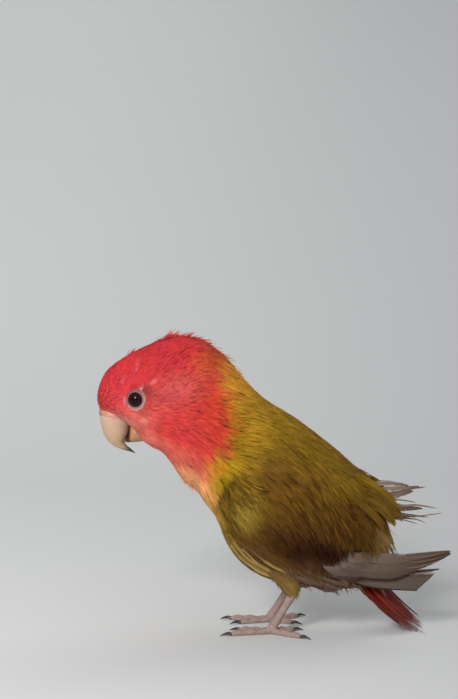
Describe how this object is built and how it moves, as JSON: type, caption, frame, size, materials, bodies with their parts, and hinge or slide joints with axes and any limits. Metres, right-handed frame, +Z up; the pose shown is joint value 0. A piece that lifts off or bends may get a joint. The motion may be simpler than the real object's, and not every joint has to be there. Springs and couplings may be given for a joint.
{
  "type": "peach faced lovebird",
  "caption": "Small stocky parrot standing still, head stretched forward and down, wings folded, short tail resting on the floor; life-size animal model.",
  "frame": {"origin": "On the floor under the middle of the bird's box.", "axes": "+Z up; the bird faces -X and its left side faces -Y; +X runs from bill to tail."},
  "size_m": [0.1392, 0.0538, 0.1182],
  "materials": {
    "head_feathers": "short silky feathers, crimson on the crown and coral on the cheek",
    "neck_feathers": "short silky feathers, orange fading into gold and olive",
    "body_feathers": "hair-like loose feathers, olive gold on the back and peach on the breast",
    "wing_feathers": "overlapping vanes, brown olive coverts and grey taupe flight feathers",
    "tail_feathers": "overlapping vanes, brick red with olive brown coverts",
    "leg_feathers": "short loose feathers, pale yellow brown",
    "bill": "worn ivory horn with a dark tip, half gloss",
    "eye": "wet, nearly black brown",
    "foot_skin": "grey pink scales, half matt",
    "claw": "dark grey horn, half gloss"
  },
  "bodies": {
    "root": {"bill_lower": "bill", "bill_upper": "bill", "claw_left_inner_back": "claw", "claw_left_inner_front": "claw", "claw_left_outer_back": "claw", "claw_left_outer_front": "claw", "claw_right_inner_back": "claw", "claw_right_inner_front": "claw", "claw_right_outer_back": "claw", "claw_right_outer_front": "claw", "eye_left": "eye", "eye_right": "eye", "foot_left": "foot_skin", "foot_right": "foot_skin", "head": "head_feathers", "neck": "neck_feathers", "tail": "tail_feathers", "thigh_left": "leg_feathers", "thigh_right": "leg_feathers", "torso": "body_feathers", "wing_left": "wing_feathers", "wing_right": "wing_feathers"}
  },
  "joints": []
}
